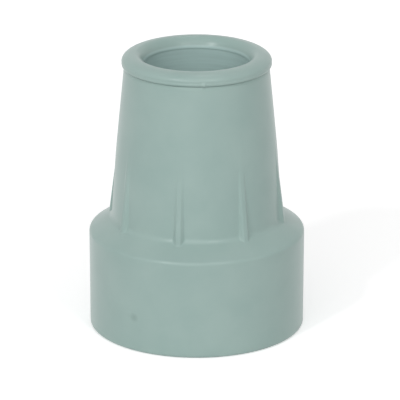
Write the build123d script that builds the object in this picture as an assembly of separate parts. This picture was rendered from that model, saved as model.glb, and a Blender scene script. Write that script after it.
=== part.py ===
from build123d import *
import os
from math import hypot, radians, tan

# Rubber cane tip: one moulded ferrule that pushes onto the end of a walking stick.
# Millimetres, +Z up, origin at the centre of the sole.

# Overall
BASE_DIAMETER = 38.5
OVERALL_HEIGHT = 50.3

# Blind bore that grips the shaft
BORE_DIAMETER = 18.56
SOLE_THICKNESS = 12.7
BORE_FLOOR_RADIUS = 1.0

# Base
BASE_SIDE_HEIGHT = 17.75
SHOULDER_SLOPE = 32.0
SHOULDER_EDGE_RADIUS = 0.9
SOLE_EDGE_RADIUS = 0.4

# Sleeve, as wall thicknesses outside the bore
TOP_WALL = 3.58
POCKET_TOP_WALL = 5.12
POCKET_FOOT_WALL = 5.92
POCKET_LENGTH = 12.1
POCKET_COVE_RADIUS = 0.8

# Ribs between the pockets
RIB_COUNT = 8
RIB_HEIGHT = 0.8
RIB_CREST_WIDTH = 1.15
RIB_FLANK_ANGLE = 14.0
FIRST_RIB_ANGLE = -101.9

# Lip round the mouth
LIP_HEIGHT = 2.15
LIP_BAND_HEIGHT = 0.8
LIP_OVERHANG = 0.44
LIP_CREASE_DEPTH = 1.72
LIP_EDGE_RADIUS = 0.25

# Derived sizes
base_radius = BASE_DIAMETER / 2
bore_radius = BORE_DIAMETER / 2
sleeve_top_radius = bore_radius + TOP_WALL
pocket_top_radius = bore_radius + POCKET_TOP_WALL
pocket_foot_radius = bore_radius + POCKET_FOOT_WALL
rib_foot_radius = pocket_foot_radius + RIB_HEIGHT
lip_radius = sleeve_top_radius + LIP_OVERHANG
shoulder_rise = tan(radians(SHOULDER_SLOPE))
pocket_foot_height = BASE_SIDE_HEIGHT + (base_radius - pocket_foot_radius) * shoulder_rise
rib_foot_height = BASE_SIDE_HEIGHT + (base_radius - rib_foot_radius) * shoulder_rise
pocket_top_height = pocket_foot_height + POCKET_LENGTH
lip_bottom_height = OVERALL_HEIGHT - LIP_HEIGHT
parting_height = lip_bottom_height + LIP_BAND_HEIGHT
crease_height = OVERALL_HEIGHT - LIP_CREASE_DEPTH
lip_top_radius = (lip_radius + bore_radius) / 2
edge_radius = min(SHOULDER_EDGE_RADIUS, base_radius - pocket_foot_radius)


def body_section():
    """Half section of the tip, without its ribs, in the XZ plane."""
    outside = [
        ((base_radius, 0), SOLE_EDGE_RADIUS),
        ((base_radius, BASE_SIDE_HEIGHT), edge_radius),
        ((pocket_foot_radius, pocket_foot_height), POCKET_COVE_RADIUS),
        ((pocket_top_radius, pocket_top_height), 0),
        ((sleeve_top_radius, lip_bottom_height), 0),
        ((lip_radius, lip_bottom_height), LIP_EDGE_RADIUS),
    ]
    mouth = (bore_radius, crease_height)
    parting = (lip_radius, parting_height)
    with BuildSketch(Plane.XZ) as section:
        with BuildLine():
            FilletPolyline(
                (0, 0),
                *[corner for corner, radius in outside],
                parting,
                radius=[radius for corner, radius in outside],
            )
            ThreePointArc(parting, (lip_top_radius, OVERALL_HEIGHT), mouth)
            FilletPolyline(
                mouth,
                (bore_radius, SOLE_THICKNESS),
                (0, SOLE_THICKNESS),
                radius=[BORE_FLOOR_RADIUS],
            )
            Line((0, SOLE_THICKNESS), (0, 0))
        make_face()
    return section.sketch


def rib(angle):
    """One wedge-sided rib at an angle round +Z; its crest follows a straight line from the shoulder
    to the top of the pockets, and both of its ends and its root are buried in the body."""
    rise = pocket_top_height - rib_foot_height
    reach = rib_foot_radius - pocket_top_radius
    crest_length = hypot(reach, rise)
    outward = Vector(rise, 0, reach) / crest_length
    along = Vector(-reach, 0, rise) / crest_length
    foot = Vector(rib_foot_radius, 0, rib_foot_height)
    buried_depth = 3 * RIB_HEIGHT
    buried_foot = RIB_HEIGHT / 4
    buried_top = RIB_HEIGHT
    root_width = RIB_CREST_WIDTH + 2 * buried_depth * tan(radians(RIB_FLANK_ANGLE))
    start = foot - along * buried_foot
    across_plane = Plane(origin=start, x_dir=(0, 1, 0), z_dir=along)
    side = 1 if across_plane.y_dir.dot(outward) > 0 else -1
    with BuildPart() as blade:
        with BuildSketch(across_plane):
            with BuildLine():
                Polyline(
                    (-RIB_CREST_WIDTH / 2, 0),
                    (RIB_CREST_WIDTH / 2, 0),
                    (root_width / 2, -side * buried_depth),
                    (-root_width / 2, -side * buried_depth),
                    close=True,
                )
            make_face()
        extrude(amount=buried_foot + crest_length + buried_top)
    return blade.part.rotate(Axis.Z, angle)


def rubber_tip():
    """The whole moulding: turned body with its ring of ribs."""
    with BuildPart() as tip:
        add(body_section())
        revolve(axis=Axis.Z)
        for index in range(RIB_COUNT):
            add(rib(FIRST_RIB_ANGLE + index * 360 / RIB_COUNT))
    return tip.part


os.makedirs("parts", exist_ok=True)
export_step(rubber_tip(), "parts/rubber_tip.step")
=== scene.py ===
"""Rubber cane tip: a moulded ferrule with a ribbed sleeve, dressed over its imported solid."""

import logging
import math
from dataclasses import dataclass, field
from enum import Enum
from typing import ClassVar

import bpy
import numpy as np
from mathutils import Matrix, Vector

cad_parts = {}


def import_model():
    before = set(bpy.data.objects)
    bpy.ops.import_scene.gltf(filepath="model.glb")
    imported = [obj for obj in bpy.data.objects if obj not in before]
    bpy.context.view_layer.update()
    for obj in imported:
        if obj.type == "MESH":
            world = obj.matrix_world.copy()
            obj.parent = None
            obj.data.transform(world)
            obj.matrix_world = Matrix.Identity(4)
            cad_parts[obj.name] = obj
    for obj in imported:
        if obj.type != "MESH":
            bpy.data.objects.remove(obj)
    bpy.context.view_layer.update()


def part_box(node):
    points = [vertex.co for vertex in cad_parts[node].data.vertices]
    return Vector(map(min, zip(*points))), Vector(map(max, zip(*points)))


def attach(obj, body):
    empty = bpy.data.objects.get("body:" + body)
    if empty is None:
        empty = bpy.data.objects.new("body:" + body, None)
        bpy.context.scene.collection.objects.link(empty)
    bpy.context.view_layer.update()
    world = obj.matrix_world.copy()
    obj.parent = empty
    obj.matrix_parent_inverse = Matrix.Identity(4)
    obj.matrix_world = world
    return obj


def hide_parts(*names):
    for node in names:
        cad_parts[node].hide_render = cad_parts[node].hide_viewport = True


LOG = logging.getLogger("cane_tip")
MM = 0.001
NODE = "rubber_tip"
Section = np.ndarray
Colour = tuple[float, float, float]


class BackgroundRay(Enum):
    """Rays that look at the white background: the matching outputs of the light path."""

    CAMERA = "Is Camera Ray"
    GLOSSY = "Is Glossy Ray"
    TRANSMISSION = "Is Transmission Ray"


def stretch(start: tuple[float, float], end: tuple[float, float], count: int) -> Section:
    """Points of a straight stretch of the section, evenly spaced, without its last point.

    Args:
        start: First (radius, height), in millimetres.
        end: Last (radius, height), in millimetres.
        count: Number of points.

    Returns:
        Array of (radius, height) rows.
    """
    along = np.linspace(0.0, 1.0, count, endpoint=False)
    return np.array(start) + along[:, None] * (np.array(end) - np.array(start))


def bend(centre: tuple[float, float], radii: tuple[float, float], start: float, end: float,
         count: int) -> Section:
    """Points of an elliptical arc of the section, without its last point.

    A point is the centre plus (first radius x cosine, second radius x sine) of the angle.

    Args:
        centre: Centre (radius, height), in millimetres.
        radii: Half-axes along the radius and along the height.
        start: First angle in degrees, from the outward direction towards up.
        end: Last angle in degrees.
        count: Number of points.

    Returns:
        Array of (radius, height) rows.
    """
    angle = np.radians(np.linspace(start, end, count, endpoint=False))
    return np.stack([centre[0] + radii[0] * np.cos(angle), centre[1] + radii[1] * np.sin(angle)], -1)


def soft_least(first: np.ndarray, second: np.ndarray, softness: float) -> np.ndarray:
    """The lesser of two values, rounded where they cross.

    Half of: their sum, less the root of their squared difference plus the squared softness.

    Args:
        first: One value.
        second: The other value.
        softness: Width of the rounding, in the same units.

    Returns:
        The rounded minimum.
    """
    return 0.5 * (first + second - np.sqrt((first - second) ** 2 + softness ** 2))


def smooth_ramp(value: np.ndarray) -> np.ndarray:
    """Ramp from 0 to 1 as the value goes from 0 to 1, level at both ends: three squares less two cubes."""
    held = np.clip(value, 0.0, 1.0)
    return held * held * (3.0 - 2.0 * held)


def crowded(low: float, high: float, count: int, centres: list[float], widths: list[float],
            weights: list[float]) -> np.ndarray:
    """Values from low to high, without high, that crowd round the given centres.

    The density is 1 plus a bell curve at each centre; the values are equal shares of its running sum.

    Args:
        low: First value.
        high: End of the range.
        count: Number of values.
        centres: Where the values crowd.
        widths: Width of each bell curve.
        weights: Height of each bell curve over the plain density.

    Returns:
        Rising array of values.
    """
    fine = np.linspace(low, high, 8001)
    offset = (fine[:, None] - np.array(centres)) / np.array(widths)
    density = 1.0 + (np.array(weights) * np.exp(-0.5 * offset ** 2)).sum(axis=1)
    total = np.concatenate([[0.0], np.cumsum(0.5 * (density[1:] + density[:-1]))])
    return np.interp(np.linspace(0.0, total[-1], count, endpoint=False), total, fine)


@dataclass(frozen=True)
class Dent:
    """A small mark on the outside: a hollow, or a bump where its depth is negative.

    The angle is in degrees round the tip; the height, half sizes and depth are in millimetres.
    """

    angle: float
    height: float
    width: float
    tall: float
    depth: float


@dataclass
class TipMoulding:
    """The whole moulding as one closed skin.

    Sizes are in millimetres and degrees. Angles run round +Z from the front, which faces -Y.
    """

    name: str = "tip_moulding"
    base_radius: float = 19.25
    height: float = 50.3
    base_draft: float = 0.06
    side_height: float = 17.75
    shoulder_slope: float = 32.0
    shoulder_edge: float = 0.85
    sole_edge: float = 0.55
    rib_foot: float = 16.02
    pocket_foot: float = 15.2
    pocket_end: float = 14.4
    pocket_length: float = 12.1
    pocket_softness: float = 0.07
    cove_radius: float = 1.45
    top_radius: float = 12.86
    rib_count: int = 8
    first_rib: float = -11.9
    rib_crest: float = 1.0
    rib_flank: float = 30.0
    rib_softness: float = 0.22
    lip_radius: float = 13.3
    lip_height: float = 2.15
    band_height: float = 0.8
    crown_share: float = 0.42
    bore_radius: float = 9.28
    crease_depth: float = 1.72
    roll_end: float = 143.0
    bore_floor: float = 12.7
    bore_floor_edge: float = 1.0
    roll_rows: int = 20
    column_count: int = 480
    ripple_share: float = 0.0012
    dents: tuple[Dent, ...] = field(default_factory=lambda: (
        Dent(angle=5.4, height=48.45, width=0.30, tall=0.34, depth=-0.16),
        Dent(angle=-35.3, height=6.3, width=0.60, tall=0.52, depth=0.07),
        Dent(angle=-38.2, height=6.9, width=0.50, tall=0.40, depth=-0.05),
        Dent(angle=-51.0, height=8.6, width=0.55, tall=0.35, depth=-0.04),
    ))

    def shoulder_height(self, radius: float) -> float:
        """Height of the shoulder's cone at a radius."""
        return self.side_height + (self.base_radius - radius) * math.tan(math.radians(self.shoulder_slope))

    @property
    def pocket_top(self) -> float:
        """Height where the pockets fade into the sleeve."""
        return self.shoulder_height(self.pocket_foot) + self.pocket_length

    @property
    def sleeve_top(self) -> float:
        """Height of the groove under the lip."""
        return self.height - self.lip_height

    def upper_cone(self, height: np.ndarray) -> np.ndarray:
        """Radius of the sleeve above the pockets: a straight taper from the pocket's top to the lip."""
        share = (height - self.pocket_top) / (self.sleeve_top - self.pocket_top)
        return self.pocket_end + share * (self.top_radius - self.pocket_end)

    def pocket_wall(self, height: np.ndarray) -> np.ndarray:
        """Radius of the pockets' floor: a straight taper from the pocket's foot to its top."""
        share = 1.0 - (height - self.shoulder_height(self.pocket_foot)) / self.pocket_length
        return self.pocket_end + share * (self.pocket_foot - self.pocket_end)

    def crest_line(self, height: np.ndarray) -> np.ndarray:
        """Radius of the ribs' crests: a straight taper from the shoulder, then the cone above."""
        foot = self.shoulder_height(self.rib_foot)
        share = (height - foot) / (self.pocket_top - foot)
        lower = self.rib_foot + share * (self.pocket_end - self.rib_foot)
        return np.maximum(lower, self.upper_cone(height))

    def rounded_corner(self, before: tuple[float, float], corner: tuple[float, float],
                       after: tuple[float, float], radius: float, count: int) -> Section:
        """Arc of one radius that is tangent to both stretches at a corner of the section.

        Args:
            before: A point on the stretch that comes in.
            corner: The sharp corner.
            after: A point on the stretch that goes out.
            radius: Radius of the arc.
            count: Number of points, first and last included.

        Returns:
            Array of (radius, height) rows.
        """
        corner_point = np.array(corner)
        back = (np.array(before) - corner_point) / np.linalg.norm(np.array(before) - corner_point)
        ahead = (np.array(after) - corner_point) / np.linalg.norm(np.array(after) - corner_point)
        half = 0.5 * math.acos(float(np.clip(back @ ahead, -1.0, 1.0)))
        middle = (back + ahead) / np.linalg.norm(back + ahead)
        centre = corner_point + middle * radius / math.sin(half)
        turn = math.pi / 2 - half
        away = -middle
        side = ahead - (ahead @ away) * away
        side = side / np.linalg.norm(side)
        angle = np.linspace(-turn, turn, count)
        return centre + radius * (np.cos(angle)[:, None] * away + np.sin(angle)[:, None] * side)

    def base_section(self) -> Section:
        """Section from the middle of the sole to the ribs' feet on the shoulder."""
        bottom = self.base_radius - self.base_draft
        foot = (self.rib_foot, self.shoulder_height(self.rib_foot))
        sole = stretch((0.6, 0.0), (bottom - self.sole_edge, 0.0), 6)
        rim = self.rounded_corner((0.0, 0.0), (bottom, 0.0), (self.base_radius, self.side_height),
                                  self.sole_edge, 7)
        edge = self.rounded_corner((bottom, 0.0), (self.base_radius, self.side_height), foot,
                                   self.shoulder_edge, 10)
        rows = crowded(rim[-1, 1], edge[0, 1], 34, [6.4, 8.6], [0.6, 0.6], [5.0, 3.0])[1:]
        share = (rows - rim[-1, 1]) / (edge[0, 1] - rim[-1, 1])
        side = rim[-1] + share[:, None] * (edge[0] - rim[-1])
        slope = stretch(tuple(edge[-1]), foot, 8)[1:]
        return np.concatenate([sole, rim, side, edge, slope])

    def sleeve_section(self) -> Section:
        """Section of the pockets' foot, cove and floor, and of the cone above them."""
        foot = (self.rib_foot, self.shoulder_height(self.rib_foot))
        inner = (self.pocket_foot, self.shoulder_height(self.pocket_foot))
        cove = self.rounded_corner(foot, inner, (self.pocket_end, self.pocket_top),
                                   self.cove_radius, 10)
        slope = stretch(foot, tuple(cove[0]), 5)
        rows = np.linspace(cove[-1, 1], self.sleeve_top - 0.15, 40)[1:]
        meet = soft_least(self.pocket_wall(rows), self.upper_cone(rows), self.pocket_softness)
        return np.concatenate([slope, cove, np.stack([meet, rows], -1)])

    def lip_section(self) -> Section:
        """Section of the lip: groove, band, fine parting crease and dome, down to the bore's edge."""
        low = self.sleeve_top
        parting = low + self.band_height
        crown = self.bore_radius + self.crown_share * (self.lip_radius - self.bore_radius)
        groove = bend((self.top_radius + 0.08, low - 0.04), (0.15, 0.10), 205.0, 80.0, 7)
        band = bend((self.lip_radius - 0.24, parting - 0.40), (0.24, 0.36), -90.0, 62.0, 9)
        outer = bend((crown, parting), (self.lip_radius - crown, self.height - parting), 3.0, 90.0, 20)
        roll = math.radians(self.roll_end - 90.0)
        inner_across = (crown - self.bore_radius) / math.sin(roll)
        inner_down = self.crease_depth / (1.0 - math.cos(roll))
        inner = bend((crown, self.height - inner_down), (inner_across, inner_down), 90.0, self.roll_end,
                     self.roll_rows)
        return np.concatenate([groove, band, outer, inner])

    def bore_section(self) -> Section:
        """Section of the bore, from its edge down to the rounded foot of its wall and its floor."""
        crease = self.height - self.crease_depth
        edge = bend((self.bore_radius + 0.10, crease - 0.16), (0.10, 0.16), 180.0, 250.0, 4)
        wall = stretch((self.bore_radius + 0.03, crease - 0.5),
                       (self.bore_radius, self.bore_floor + self.bore_floor_edge), 8)
        corner = bend((self.bore_radius - self.bore_floor_edge, self.bore_floor + self.bore_floor_edge),
                      (self.bore_floor_edge, self.bore_floor_edge), 0.0, -90.0, 6)
        floor = stretch((self.bore_radius - self.bore_floor_edge, self.bore_floor),
                        (0.6, self.bore_floor), 4)
        return np.concatenate([edge, wall, corner, floor])

    def columns(self) -> np.ndarray:
        """Angles round the tip, in degrees, crowded at the ribs and at the small marks."""
        pitch = 360.0 / self.rib_count
        ribs = [self.first_rib + index * pitch for index in range(-3, self.rib_count - 3)]
        marks = [dent.angle for dent in self.dents]
        return crowded(-180.0, 180.0, self.column_count, ribs + marks,
                       [3.0] * len(ribs) + [1.6] * len(marks), [5.0] * len(ribs) + [7.0] * len(marks))

    def rib_share(self, angle: np.ndarray, depth: np.ndarray) -> np.ndarray:
        """How far a point stands from the pocket's floor (0) towards the ribs' crest (1).

        The distance round the sleeve from the nearest rib is compared with the rib's half width,
        which grows from the crest to the root by the depth times the tangent of the flank's angle.

        Args:
            angle: Angles of the columns, in degrees.
            depth: Height of the crest over the pocket's floor for each row.

        Returns:
            Share for each row and column.
        """
        pitch = 360.0 / self.rib_count
        nearest = np.abs((angle - self.first_rib + pitch / 2) % pitch - pitch / 2)
        distance = np.radians(nearest)[None, :] * self.pocket_foot
        root = 0.5 * self.rib_crest + depth[:, None] * math.tan(math.radians(self.rib_flank))
        reach = root - 0.5 * self.rib_crest + 2.0 * self.rib_softness
        return smooth_ramp((root + self.rib_softness - distance) / reach)

    def dent_depth(self, angle: np.ndarray, height: np.ndarray, radius: np.ndarray) -> np.ndarray:
        """Sum of the small marks.

        Each is its depth times a flat-topped bell: e to the power of minus half the sum of the
        fourth powers of the distances from it, in half sizes.

        Args:
            angle: Angles of the columns, in degrees.
            height: Height of each row.
            radius: Radius of each row.

        Returns:
            Depth for each row and column.
        """
        total = np.zeros((height.size, angle.size))
        for dent in self.dents:
            turn = (angle - dent.angle + 180.0) % 360.0 - 180.0
            across = np.radians(turn)[None, :] * radius[:, None] / dent.width
            up = (height - dent.height)[:, None] / dent.tall
            total += dent.depth * np.exp(-0.5 * (across ** 4 + up ** 4))
        return total

    def surface(self) -> np.ndarray:
        """The skin as a grid of points: section row by column angle.

        A point's radius is the section's, plus the ribs' share of the crest's height over the
        pocket's floor, less the small marks, plus a slow ripple of a few hundredths: half a sine
        wave of twice the angle times one of the height, plus half of three times the angle.

        Returns:
            Array of rows x columns x 3, in metres.
        """
        section = np.concatenate([self.base_section(), self.sleeve_section(), self.lip_section(),
                                  self.bore_section()])
        outside = np.arange(len(section)) < len(section) - len(self.bore_section()) - self.roll_rows
        angle = self.columns()
        radius, height = section[:, 0], section[:, 1]
        foot = self.shoulder_height(self.rib_foot)
        on_sleeve = outside & (height >= foot - 1e-6) & (height <= self.pocket_top + 4.0)
        depth = np.where(on_sleeve, self.crest_line(height) - radius, 0.0).clip(min=0.0)
        full = radius[:, None] + depth[:, None] * self.rib_share(angle, depth)
        full = full - np.where(outside, 1.0, 0.0)[:, None] * self.dent_depth(angle, height, radius)
        turn = np.radians(angle)
        ripple = 0.5 * np.sin(2 * turn + 0.6)[None, :] * np.sin(0.13 * height + 0.4)[:, None]
        ripple = ripple + 0.5 * np.sin(3 * turn - 1.1)[None, :] * np.cos(0.21 * height)[:, None]
        full = full * (1.0 + self.ripple_share * ripple)
        level = np.broadcast_to(height[:, None], full.shape)
        return MM * np.stack([full * np.sin(turn), -full * np.cos(turn), level], -1)

    def build(self) -> bpy.types.Object:
        """Makes the closed skin: quads between the rows, and a fan at each end of the section.

        Returns:
            The piece's object, at the origin.
        """
        grid = self.surface()
        rows, columns = grid.shape[:2]
        poles = np.array([[0.0, 0.0, 0.0], [0.0, 0.0, self.bore_floor * MM]])
        points = np.concatenate([grid.reshape(-1, 3), poles])
        row, column = np.meshgrid(np.arange(rows - 1), np.arange(columns), indexing="ij")
        here = row * columns + column
        beside = row * columns + (column + 1) % columns
        quads = np.stack([here, beside, beside + columns, here + columns], -1).reshape(-1, 4)
        ring = np.arange(columns)
        following = (ring + 1) % columns
        last = (rows - 1) * columns
        sole_fan = np.stack([following, ring, np.full(columns, rows * columns)], -1)
        floor_fan = np.stack([last + ring, last + following, np.full(columns, rows * columns + 1)], -1)
        mesh = bpy.data.meshes.new(self.name)
        mesh.from_pydata(points.tolist(), [], quads.tolist() + sole_fan.tolist() + floor_fan.tolist())
        mesh.validate()
        mesh.shade_smooth()
        mesh.update()
        piece = bpy.data.objects.new(self.name, mesh)
        bpy.context.collection.objects.link(piece)
        LOG.info("%s: %d points, %d rows x %d columns", self.name, len(points), rows, columns)
        return piece


@dataclass(frozen=True)
class RubberFinish:
    """Satin moulded rubber: grey-green, faintly mottled, with a fine grain and a soft sheen.

    The pit is the dark mark's (angle, height, radius), in degrees and millimetres. The bore's wall is
    painted a lighter, streaked colour as painted light, standing in for the front light that reaches into
    the bore: it fades between the two distances from the axis, above the painted light's floor.
    """

    colour: Colour = (0.307, 0.424, 0.396)
    pale: Colour = (0.332, 0.448, 0.418)
    # Painted light: a lighter colour for the bore's wall, standing in for front light reaching into the
    # bore, with darker level streaks in it.
    painted_lit_bore: Colour = (0.445, 0.585, 0.565)
    painted_light_streak: Colour = (0.400, 0.530, 0.510)
    scuff: Colour = (0.262, 0.365, 0.336)
    roughness: float = 0.30
    pit: tuple[float, float, float] = (-35.3, 6.3, 0.95)
    pit_radius: float = 19.2
    bore_light_reach: tuple[float, float] = (9.34, 9.48)
    bore_light_floor: float = 6.0
    MIX_SHARE: ClassVar[int] = 0
    MIX_COLOURS: ClassVar[tuple[int, int]] = (6, 7)
    MIX_RESULT: ClassVar[int] = 2

    def make(self) -> bpy.types.Material:
        """Builds the node tree on Object coordinates.

        Returns:
            The material.
        """
        material = bpy.data.materials.new("grey_green_rubber")
        material.use_nodes = True
        tree = material.node_tree
        nodes, links = tree.nodes, tree.links
        shader = nodes["Principled BSDF"]
        place = nodes.new("ShaderNodeTexCoord").outputs["Object"]

        mottle = self.noise(tree, place, scale=140.0, detail=4.0)
        body = self.mixed(tree, self.colour, self.pale, self.ranged(tree, mottle, 0.35, 0.65, 0.0, 1.0))
        turn = math.radians(self.pit[0])
        centre = Vector((self.pit_radius * math.sin(turn), -self.pit_radius * math.cos(turn), self.pit[1]))
        distance = nodes.new("ShaderNodeVectorMath")
        distance.operation = "DISTANCE"
        links.new(place, distance.inputs[0])
        distance.inputs[1].default_value = centre * MM
        mark = self.ranged(tree, distance.outputs["Value"], 0.1 * MM, self.pit[2] * MM, 1.0, 0.0)
        marked = self.mixed(tree, body, self.scuff, mark)
        # Painted light on the bore's wall: a lighter, streaked colour mixed in where the bore's share is
        # full, standing in for light reaching into the bore.
        painted_light_streaks = self.noise(tree, self.flattened(tree, place), scale=1700.0, detail=3.0)
        painted_bore_light = self.mixed(tree, self.painted_light_streak, self.painted_lit_bore, self.ranged(tree, painted_light_streaks, 0.3, 0.6, 0.0, 1.0))
        painted_lit_bore = self.mixed(tree, marked, painted_bore_light, self.bore_light_share(tree, place))
        links.new(painted_lit_bore, shader.inputs["Base Color"])

        grain = self.noise(tree, place, scale=2600.0, detail=3.0)
        links.new(self.ranged(tree, grain, 0.3, 0.7, self.roughness - 0.02, self.roughness + 0.03),
                  shader.inputs["Roughness"])
        shader.inputs["Specular IOR Level"].default_value = 0.40
        shader.inputs["Sheen Weight"].default_value = 0.02
        shader.inputs["Sheen Roughness"].default_value = 0.5

        broad = nodes.new("ShaderNodeBump")
        broad.inputs["Strength"].default_value = 0.15
        broad.inputs["Distance"].default_value = 0.05 * MM
        links.new(mottle, broad.inputs["Height"])
        fine = nodes.new("ShaderNodeBump")
        fine.inputs["Strength"].default_value = 0.05
        fine.inputs["Distance"].default_value = 0.02 * MM
        links.new(grain, fine.inputs["Height"])
        links.new(broad.outputs["Normal"], fine.inputs["Normal"])
        links.new(fine.outputs["Normal"], shader.inputs["Normal"])
        return material

    def bore_light_share(self, tree: bpy.types.NodeTree, place: bpy.types.NodeSocket) -> bpy.types.NodeSocket:
        """Adds the share of the painted bore light, a lighter colour that stands in for light reaching into
        the bore: full on the bore's wall, none outside it.

        Args:
            tree: The material's node tree.
            place: Coordinates to read, in metres.

        Returns:
            The share, from 0 to 1, by distance from the tip's axis.
        """
        flat = tree.nodes.new("ShaderNodeVectorMath")
        flat.operation = "MULTIPLY"
        flat.inputs[1].default_value = (1.0, 1.0, 0.0)
        tree.links.new(place, flat.inputs[0])
        length = tree.nodes.new("ShaderNodeVectorMath")
        length.operation = "LENGTH"
        tree.links.new(flat.outputs["Vector"], length.inputs[0])
        near_axis = self.ranged(tree, length.outputs["Value"], self.bore_light_reach[0] * MM,
                                self.bore_light_reach[1] * MM, 1.0, 0.0)
        height = tree.nodes.new("ShaderNodeSeparateXYZ")
        tree.links.new(place, height.inputs["Vector"])
        inside = self.ranged(tree, height.outputs["Z"], self.bore_light_floor * MM, (self.bore_light_floor + 1.0) * MM,
                             0.0, 1.0)
        both = tree.nodes.new("ShaderNodeMath")
        both.operation = "MULTIPLY"
        tree.links.new(near_axis, both.inputs[0])
        tree.links.new(inside, both.inputs[1])
        return both.outputs[0]

    def flattened(self, tree: bpy.types.NodeTree, place: bpy.types.NodeSocket) -> bpy.types.NodeSocket:
        """Adds coordinates that draw a pattern out into level streaks.

        Args:
            tree: The material's node tree.
            place: Coordinates to read, in metres.

        Returns:
            The coordinates, with the two level ones cut to a twentieth.
        """
        node = tree.nodes.new("ShaderNodeVectorMath")
        node.operation = "MULTIPLY"
        node.inputs[1].default_value = (0.05, 0.05, 1.0)
        tree.links.new(place, node.inputs[0])
        return node.outputs["Vector"]

    def noise(self, tree: bpy.types.NodeTree, place: bpy.types.NodeSocket, scale: float,
              detail: float) -> bpy.types.NodeSocket:
        """Adds a noise pattern.

        Args:
            tree: The material's node tree.
            place: Coordinates to read, in metres.
            scale: Features per metre.
            detail: Octaves.

        Returns:
            The pattern's value, from 0 to 1.
        """
        node = tree.nodes.new("ShaderNodeTexNoise")
        node.inputs["Scale"].default_value = scale
        node.inputs["Detail"].default_value = detail
        tree.links.new(place, node.inputs["Vector"])
        return node.outputs["Fac"]

    def ranged(self, tree: bpy.types.NodeTree, value: bpy.types.NodeSocket, low: float, high: float,
               first: float, last: float) -> bpy.types.NodeSocket:
        """Adds a clamped linear change of range.

        Args:
            tree: The material's node tree.
            value: What is read.
            low: Value that gives first.
            high: Value that gives last.
            first: Result at low.
            last: Result at high.

        Returns:
            The changed value.
        """
        node = tree.nodes.new("ShaderNodeMapRange")
        node.inputs["From Min"].default_value = low
        node.inputs["From Max"].default_value = high
        node.inputs["To Min"].default_value = first
        node.inputs["To Max"].default_value = last
        tree.links.new(value, node.inputs["Value"])
        return node.outputs["Result"]

    def mixed(self, tree: bpy.types.NodeTree, first: Colour | bpy.types.NodeSocket,
              second: Colour | bpy.types.NodeSocket, share: bpy.types.NodeSocket) -> bpy.types.NodeSocket:
        """Adds a mix of two colours, each a plain colour or the output of another node.

        Args:
            tree: The material's node tree.
            first: Colour where the share is 0.
            second: Colour where the share is 1.
            share: The mix.

        Returns:
            The mixed colour.
        """
        node = tree.nodes.new("ShaderNodeMix")
        node.data_type = "RGBA"
        tree.links.new(share, node.inputs[self.MIX_SHARE])
        for place, colour in zip(self.MIX_COLOURS, (first, second)):
            if isinstance(colour, tuple):
                node.inputs[place].default_value = (*colour, 1.0)
            else:
                tree.links.new(colour, node.inputs[place])
        return node.outputs[self.MIX_RESULT]


@dataclass(frozen=True)
class Lamp:
    """A broad, distant lamp.

    Its turn round the tip from the front (right is positive), its rise above the floor and the
    width that it fills are in degrees. Its strength is in watts per square metre.
    """

    name: str
    turn: float
    rise: float
    strength: float
    width: float

    def build(self) -> bpy.types.Object:
        """Makes the lamp, turned towards the tip.

        Returns:
            The lamp's object.
        """
        lamp = bpy.data.lights.new(self.name, "SUN")
        lamp.energy = self.strength
        lamp.angle = math.radians(self.width)
        holder = bpy.data.objects.new(self.name, lamp)
        turn, rise = math.radians(self.turn), math.radians(self.rise)
        towards = Vector((math.sin(turn) * math.cos(rise), -math.cos(turn) * math.cos(rise), math.sin(rise)))
        holder.rotation_euler = towards.to_track_quat("Z", "Y").to_euler()
        bpy.context.collection.objects.link(holder)
        return holder


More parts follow.
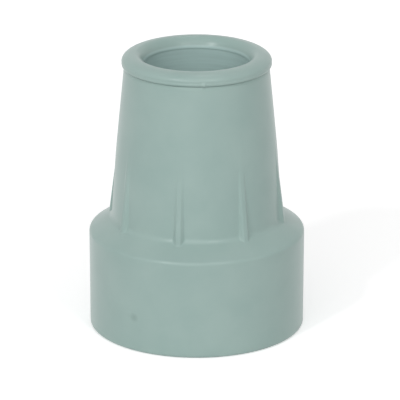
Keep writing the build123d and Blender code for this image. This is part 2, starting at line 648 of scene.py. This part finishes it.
@dataclass
class Studio:
    """Pale floor, white surroundings and soft lamps. Lengths are in metres."""

    floor_size: float = 4.0
    floor_tone: float = 0.86
    floor_drop: float = 0.00004
    lift: float = 0.42
    ambient: float = 0.43
    lamps: tuple[Lamp, ...] = (
        Lamp("key", -12.0, 20.0, 0.52, 40.0),
        Lamp("overhead", 0.0, 52.0, 0.27, 50.0),
        Lamp("left_softbox", -36.0, 38.0, 0.60, 6.0),
        Lamp("right_softbox", 26.0, 38.0, 0.37, 7.0),
        Lamp("back_softbox", 165.0, 68.0, 0.11, 8.0),
        Lamp("left_wall", -95.0, 14.0, 0.08, 70.0),
        Lamp("right_wall", 95.0, 14.0, 0.05, 60.0),
    )

    def looked_at(self, tree: bpy.types.NodeTree) -> bpy.types.NodeSocket:
        """Adds the test for a ray that looks at the background: camera, glossy or transmission.

        Args:
            tree: The node tree of the floor's material or of the world.

        Returns:
            1 for such a ray, 0 for one that only carries light.
        """
        path = tree.nodes.new("ShaderNodeLightPath")
        total = path.outputs[BackgroundRay.CAMERA.value]
        for kind in (BackgroundRay.GLOSSY, BackgroundRay.TRANSMISSION):
            larger = tree.nodes.new("ShaderNodeMath")
            larger.operation = "MAXIMUM"
            tree.links.new(total, larger.inputs[0])
            tree.links.new(path.outputs[kind.value], larger.inputs[1])
            total = larger.outputs[0]
        return total

    def floor(self) -> bpy.types.Object:
        """Makes the floor: matt white that reads as plain white and keeps the tip's shadow."""
        half = self.floor_size / 2
        low = -self.floor_drop
        mesh = bpy.data.meshes.new("studio_floor")
        mesh.from_pydata([(-half, -half, low), (half, -half, low), (half, half, low), (-half, half, low)],
                         [], [(0, 1, 2, 3)])
        floor = bpy.data.objects.new("studio_floor", mesh)
        bpy.context.collection.objects.link(floor)
        material = bpy.data.materials.new("matt_white")
        material.use_nodes = True
        nodes, links = material.node_tree.nodes, material.node_tree.links
        nodes.remove(nodes["Principled BSDF"])
        matt = nodes.new("ShaderNodeBsdfDiffuse")
        matt.inputs["Color"].default_value = (self.floor_tone, self.floor_tone, self.floor_tone, 1.0)
        glow = nodes.new("ShaderNodeEmission")
        lifted = nodes.new("ShaderNodeMath")
        lifted.operation = "MULTIPLY"
        lifted.inputs[1].default_value = self.lift
        links.new(self.looked_at(material.node_tree), lifted.inputs[0])
        links.new(lifted.outputs[0], glow.inputs["Strength"])
        both = nodes.new("ShaderNodeAddShader")
        links.new(matt.outputs[0], both.inputs[0])
        links.new(glow.outputs[0], both.inputs[1])
        links.new(both.outputs[0], nodes["Material Output"].inputs["Surface"])
        mesh.materials.append(material)
        return floor

    def surroundings(self) -> None:
        """Sets the world: white to the camera and to reflections, a little dimmer as light."""
        world = bpy.data.worlds.new("studio_white")
        bpy.context.scene.world = world
        world.use_nodes = True
        nodes, links = world.node_tree.nodes, world.node_tree.links
        back = nodes["Background"]
        back.inputs["Color"].default_value = (1.0, 1.0, 1.0, 1.0)
        strength = nodes.new("ShaderNodeMapRange")
        strength.inputs["To Min"].default_value = self.ambient
        strength.inputs["To Max"].default_value = 1.0
        links.new(self.looked_at(world.node_tree), strength.inputs["Value"])
        links.new(strength.outputs["Result"], back.inputs["Strength"])

    def build(self) -> None:
        """Makes the floor, the world and the lamps."""
        self.floor()
        self.surroundings()
        for lamp in self.lamps:
            lamp.build()


@dataclass(frozen=True)
class Viewpoint:
    """The camera: a long lens at a low downward angle, straight from the front."""

    rise: float = 19.3
    distance: float = 672.0
    aim: tuple[float, float, float] = (0.58, 0.0, 22.85)
    focal_length: float = 338.4
    sensor: float = 36.0

    def build(self) -> bpy.types.Object:
        """Places the camera and makes it the scene's.

        Returns:
            The camera's object.
        """
        camera = bpy.data.cameras.new("front_camera")
        camera.sensor_width = self.sensor
        camera.lens = self.focal_length
        camera.clip_start = 0.01
        camera.clip_end = 20.0
        holder = bpy.data.objects.new("front_camera", camera)
        back = Vector((0.0, -math.cos(math.radians(self.rise)), math.sin(math.radians(self.rise))))
        holder.location = (Vector(self.aim) + back * self.distance) * MM
        holder.rotation_euler = back.to_track_quat("Z", "Y").to_euler()
        bpy.context.collection.objects.link(holder)
        bpy.context.scene.camera = holder
        return holder


@dataclass
class CaneTip:
    """The cane tip: its one moulding, sized from the frame, with its finish."""

    moulding: TipMoulding = field(default_factory=TipMoulding)
    finish: RubberFinish = field(default_factory=RubberFinish)

    def build(self) -> bpy.types.Object:
        """Builds the moulding, dresses it and ties it to the frame.

        Returns:
            The piece's object.
        """
        low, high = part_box(NODE)
        self.moulding.base_radius = 0.5 * (high[0] - low[0]) / MM
        self.moulding.height = high[2] / MM
        piece = self.moulding.build()
        piece.data.materials.append(self.finish.make())
        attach(piece, "root")
        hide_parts(NODE)
        return piece


def main() -> None:
    """Builds the tip, the studio and the camera."""
    logging.basicConfig(level=logging.INFO, format="%(name)s: %(message)s")
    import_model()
    piece = CaneTip().build()
    LOG.info("built %s", piece.name)
    Studio().build()
    Viewpoint().build()
    bpy.context.scene.view_settings.view_transform = "Standard"


if __name__ == "__main__":
    main()
